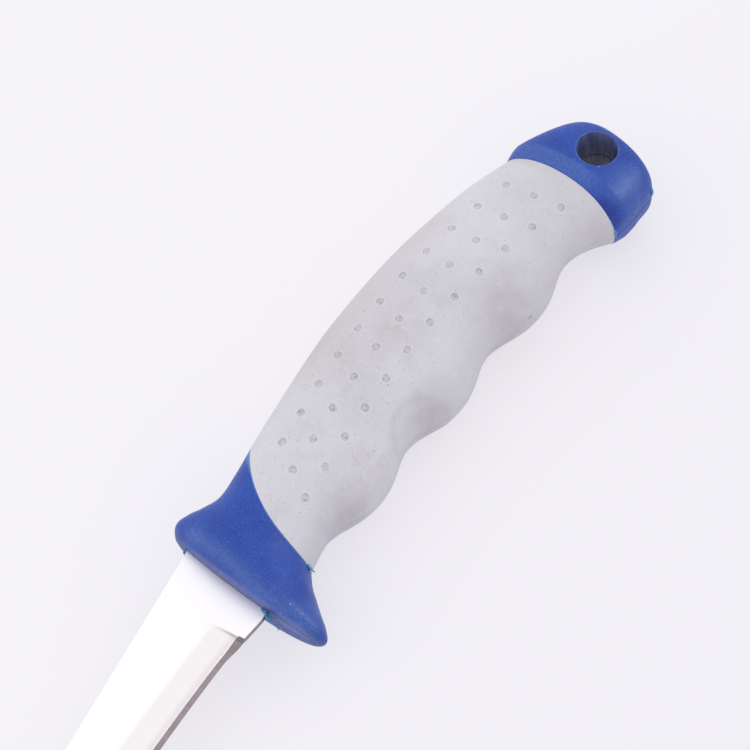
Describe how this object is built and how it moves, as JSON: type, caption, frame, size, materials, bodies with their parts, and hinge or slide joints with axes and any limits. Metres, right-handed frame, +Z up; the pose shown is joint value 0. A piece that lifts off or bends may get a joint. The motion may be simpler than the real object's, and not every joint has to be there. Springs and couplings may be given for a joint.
{
  "type": "fishing knife",
  "caption": "Fixed-blade fishing knife with a slim tapered blade, a two-tone moulded handle with finger swells and dimples, a flared guard and a pommel with a lanyard hole.",
  "frame": {"origin": "middle of the knife's box, on the surface that it lies on", "axes": "+X towards the blade's tip, +Y towards the cutting edge, +Z up through the side of the knife"},
  "size_m": [0.2626, 0.0472, 0.0228],
  "materials": {
    "stainless_steel": "bright ground stainless steel",
    "blue_plastic": "hard moulded plastic with a fine matt grain",
    "grey_rubber": "soft matt moulded rubber"
  },
  "bodies": {
    "root": {"blade": "stainless_steel", "handle_core": "blue_plastic", "grip_sleeve": "grey_rubber"}
  },
  "joints": []
}
